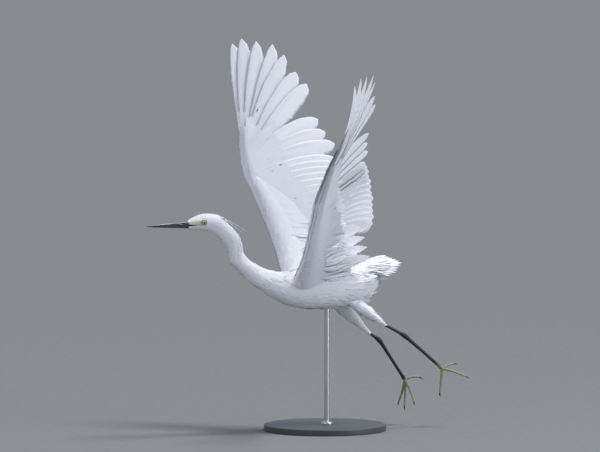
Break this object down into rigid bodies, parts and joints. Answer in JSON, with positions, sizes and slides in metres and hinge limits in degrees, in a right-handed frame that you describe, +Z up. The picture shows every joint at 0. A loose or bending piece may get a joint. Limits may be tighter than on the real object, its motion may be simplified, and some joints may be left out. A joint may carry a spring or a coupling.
{
  "type": "little egret model on a display stand",
  "caption": "Life-size still model of a small white heron taking off with raised wings, black bill, dark legs and yellow feet, held on a rod above a round base.",
  "frame": {"origin": "centre of the underside of the stand's round base", "axes": "+Z up, the bird flies towards -X, its left side faces -Y"},
  "size_m": [0.6605, 0.5716, 0.7463],
  "materials": {
    "white_plumage": "soft matte feathers",
    "bill_horn": "satin horn",
    "eye_gloss": "gloss",
    "leg_scales": "satin scales",
    "foot_skin": "satin scales",
    "claw_horn": "satin horn",
    "stand_paint": "satin",
    "stand_steel": "satin"
  },
  "bodies": {
    "root": {"head": "white_plumage", "neck_upper": "white_plumage", "neck_lower": "white_plumage", "torso": "white_plumage", "tail": "white_plumage", "wing_left": "white_plumage", "wing_right": "white_plumage", "thigh_left": "white_plumage", "thigh_right": "white_plumage", "bill_upper": "bill_horn", "bill_lower": "bill_horn", "eye_left": "eye_gloss", "eye_right": "eye_gloss", "shank_left": "leg_scales", "shank_right": "leg_scales", "foot_left": "foot_skin", "foot_right": "foot_skin", "claw_hallux_left": "claw_horn", "claw_inner_left": "claw_horn", "claw_middle_left": "claw_horn", "claw_outer_left": "claw_horn", "claw_hallux_right": "claw_horn", "claw_inner_right": "claw_horn", "claw_middle_right": "claw_horn", "claw_outer_right": "claw_horn", "stand_base": "stand_paint", "stand_rod": "stand_steel"}
  },
  "joints": []
}
